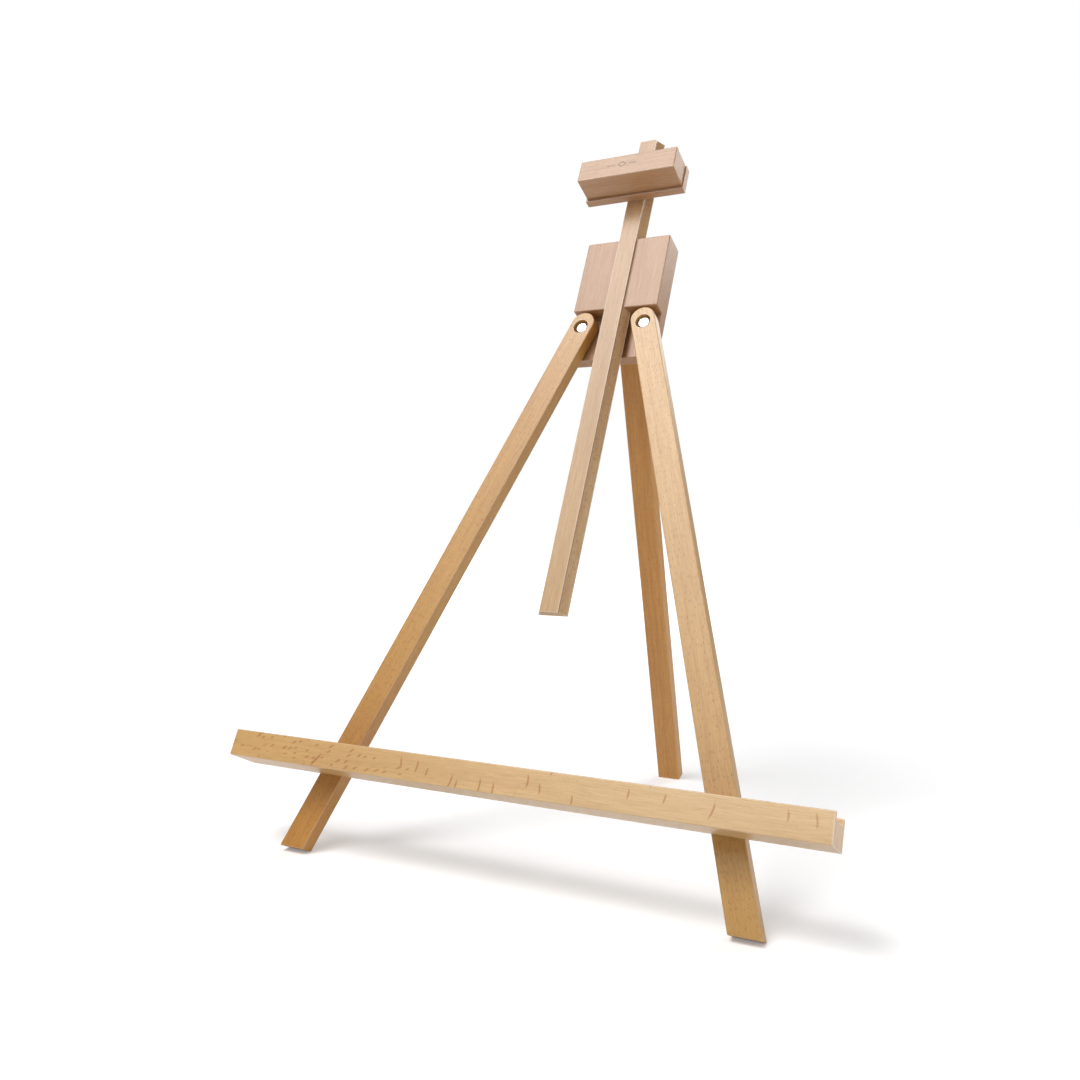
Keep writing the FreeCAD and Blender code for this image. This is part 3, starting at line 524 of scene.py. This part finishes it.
def burned_ornament(graph):
    """A plain outlined diamond between two short bars, burned into the clamp's front."""
    half_wide, half_tall = 0.0042, 0.0030
    bar_middle, bar_half = 0.0095, 0.0033
    low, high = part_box("clamp_block")
    middle = (low + high) / 2
    spot = graph.position()
    across_mark = graph.math("SUBTRACT", graph.dot(spot, RIGHT), middle.dot(RIGHT) - 0.004)
    up_mark = graph.math("SUBTRACT", graph.dot(spot, UP), middle.dot(UP) + 0.001)
    wide = graph.math("ABSOLUTE", across_mark)
    tall = graph.math("ABSOLUTE", up_mark)

    tall_share = graph.math("MULTIPLY", tall, 1 / half_tall)
    ring = graph.math("MULTIPLY_ADD", wide, 1 / half_wide, tall_share)
    off_line = graph.math("ABSOLUTE", graph.math("SUBTRACT", ring, 0.85))
    outline = graph.smooth(off_line, 0.16, 0.27, start=1.0, end=0.0)

    from_bar = graph.math("ABSOLUTE", graph.math("SUBTRACT", wide, bar_middle))
    bar_run = graph.smooth(from_bar, bar_half, bar_half + 0.0005, start=1.0, end=0.0)
    bar_width = graph.smooth(tall, 0.00035, 0.00060, start=1.0, end=0.0)
    bar = graph.math("MULTIPLY", bar_run, bar_width)

    front = graph.smooth(graph.dot(graph.surface_normal(), -BACK), 0.7, 0.9)
    uneven = graph.smooth(graph.noise(spot, 900.0), 0.25, 0.6, start=0.6, end=0.95)
    shape = graph.math("MULTIPLY", graph.math("MAXIMUM", outline, bar), uneven)
    return graph.math("MULTIPLY", shape, front)


def dress_wood():
    """Dresses the boards, and returns the names of their nodes."""
    left_side = across(LEFT_LEG_UP, BACK)
    right_side = across(RIGHT_LEG_UP, BACK)
    # the front legs darken towards their feet: partly the wood's tone, partly painted shade below
    # the tray and a painted sheen towards the top
    left_tone_and_painted_light = fading(AMBER, HONEY, -0.12, 0.12)
    right_tone_and_painted_light = fading(OCHRE, STRAW, -0.12, 0.06)
    # the tray pales towards its right end: partly the wood's tone, partly a painted sheen
    tray_tone_and_painted_sheen = fading(GOLD, SAND, -0.24, 0.14)
    # the mast pales towards its foot: partly the wood's tone, partly painted light
    mast_tone_and_painted_light = fading(CREAM, PALE, 0.10, 0.38)
    head = beech("beech_head", UP, BACK, 3.1, PINK, dashes=0.8, figure=0.45, gloss=0.45)
    mast = beech("beech_mast", UP, BACK, 7.7, mast_tone_and_painted_light, dashes=0.8, figure=0.50, gloss=0.45)
    clamp = beech(
        "beech_clamp", RIGHT, UP, 1.9, ROSE,
        dashes=0.35, figure=0.50, gloss=0.45, mark=burned_ornament,
    )
    plate = beech("beech_plate", RIGHT, UP, 5.3, ROSE, dashes=0.35, figure=0.60, gloss=0.45)
    left_leg = beech(
        "beech_left_leg", LEFT_LEG_UP, left_side, 2.2, left_tone_and_painted_light,
        dashes=0.7, figure=0.60, gloss=0.60,
    )
    right_leg = beech(
        "beech_right_leg", RIGHT_LEG_UP, right_side, 9.4, right_tone_and_painted_light,
        dashes=0.6, figure=0.55, gloss=0.60,
    )
    rear_leg = beech(
        "beech_rear_leg", REAR_LEG_UP, RIGHT, 6.6, BROWN,
        dashes=0.4, figure=0.80, gloss=0.50,
    )
    tray = beech(
        "beech_tray", RIGHT, BACK, 4.8, tray_tone_and_painted_sheen,
        dashes=0.5, figure=0.30, gloss=1.0, flakes=tray_flakes,
    )
    boards = {
        "head_block": head,
        "mast": mast,
        "clamp_block": clamp,
        "clamp_back_plate": plate,
        "left_front_leg": left_leg,
        "right_front_leg": right_leg,
        "rear_leg": rear_leg,
        "tray": tray,
    }
    for node, material in boards.items():
        dress(node, material)
    return set(boards)


def dress_hardware(nodes):
    """Dresses the bolts, screws, inserts, hinge and lock."""
    silver, grey, yellow = (216, 217, 220), (196, 198, 200), (206, 168, 92)
    bright = metal("bright_plate", silver, roughness=0.15, seed=1.0, brushed=0.15, grime=0.2)
    zinc = metal("zinc_plate", grey, roughness=0.26, seed=2.0, brushed=0.3)
    brass = metal("turned_brass", yellow, roughness=0.24, seed=3.0, brushed=0.5)
    black = plastic("black_nylon", (26, 26, 27), roughness=0.42)
    pale = plastic("natural_nylon", (226, 222, 206), roughness=0.45)
    for node in nodes:
        if "pivot_bolt" in node:
            dress(node, bright)
        elif "insert" in node:
            dress(node, brass)
        elif node == "lock_knob":
            dress(node, black)
        elif node == "lock_pad":
            dress(node, pale)
        else:
            dress(node, zinc)


# ---------------------------------------------------------------- studio


def make_floor():
    """A plain pale floor, a little brighter far away so that it runs into the backdrop."""
    mesh = bpy.data.meshes.new("studio_floor")
    shape = bmesh.new()
    bmesh.ops.create_circle(shape, cap_ends=True, segments=96, radius=8.0)
    shape.to_mesh(mesh)
    shape.free()
    floor = bpy.data.objects.new("studio_floor", mesh)
    scene.collection.objects.link(floor)
    graph = Graph("studio_white")
    spot = graph.position()
    haze = graph.noise(spot, 3.0)
    white = graph.mix(haze, rgb(240, 240, 240), rgb(234, 234, 235))
    graph.feed(graph.shader.inputs["Base Color"], white)
    graph.shader.inputs["Roughness"].default_value = 0.9
    graph.shader.inputs["Specular IOR Level"].default_value = 0.1
    distance = graph.math("SQRT", graph.dot(spot, spot))
    glow = graph.smooth(distance, 0.3, 2.4, start=0.22, end=0.9)
    seen = graph.tree.nodes.new("ShaderNodeLightPath").outputs["Is Camera Ray"]
    glow = graph.math("MULTIPLY", glow, seen)
    graph.feed(graph.shader.inputs["Emission Strength"], glow)
    graph.shader.inputs["Emission Color"].default_value = (1, 1, 1, 1)
    mesh.materials.append(graph.material)


def make_light(name, location, target, size, power):
    """A white softbox of the given size in metres and power in watts, aimed at its target."""
    data = bpy.data.lights.new(name, "AREA")
    data.shape = "RECTANGLE"
    data.size, data.size_y = size
    data.energy = power
    light = bpy.data.objects.new(name, data)
    light.location = location
    aim = Vector(target) - Vector(location)
    light.rotation_euler = aim.to_track_quat("-Z", "Y").to_euler()
    scene.collection.objects.link(light)


def make_world():
    """Soft even light from all round, in front of a white backdrop."""
    world = bpy.data.worlds.new("studio_world")
    world.use_nodes = True
    tree = world.node_tree
    background = tree.nodes["Background"]
    background.inputs["Color"].default_value = (1, 1, 1, 1)
    light_path = tree.nodes.new("ShaderNodeLightPath")
    strength = tree.nodes.new("ShaderNodeMapRange")
    strength.inputs["To Min"].default_value = 0.26
    strength.inputs["To Max"].default_value = 1.0
    tree.links.new(light_path.outputs["Is Camera Ray"], strength.inputs["Value"])
    tree.links.new(strength.outputs["Result"], background.inputs["Strength"])
    scene.world = world


def make_studio():
    make_floor()
    make_world()
    make_light("key_softbox", (-0.7, -2.2, 3.0), (0, 0, 0.2), (2.4, 2.0), 58)
    make_light("top_softbox", (-0.9, -1.2, 3.2), (0, 0, 0.2), (1.4, 0.9), 42)
    make_light("fill_softbox", (2.6, -0.3, 0.9), (0, 0, 0.3), (1.4, 1.4), 16)
    make_light("back_softbox", (0.8, 2.6, 1.8), (0, 0, 0.3), (1.8, 1.4), 30)
    scene.view_settings.view_transform = "Standard"


def make_camera():
    """The camera stands low, to the right of the easel and in front of it."""
    data = bpy.data.cameras.new("front_right_camera")
    data.lens = 34.13
    data.sensor_width = 36.0
    data.clip_start = 0.01
    camera = bpy.data.objects.new("front_right_camera", data)
    camera.location = (0.3351, -0.7323, 0.2487)
    heading, rise, roll = math.radians(27.68), math.radians(-1.69), math.radians(0.19)
    camera.rotation_mode = "XYZ"
    turn = Matrix.Rotation(heading, 3, "Z") @ Matrix.Rotation(math.radians(90) + rise, 3, "X")
    turn = turn @ Matrix.Rotation(roll, 3, "Z")
    camera.rotation_euler = turn.to_euler()
    scene.collection.objects.link(camera)
    scene.camera = camera


wooden = dress_wood()
dress_hardware([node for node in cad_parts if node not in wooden])
make_studio()
make_camera()
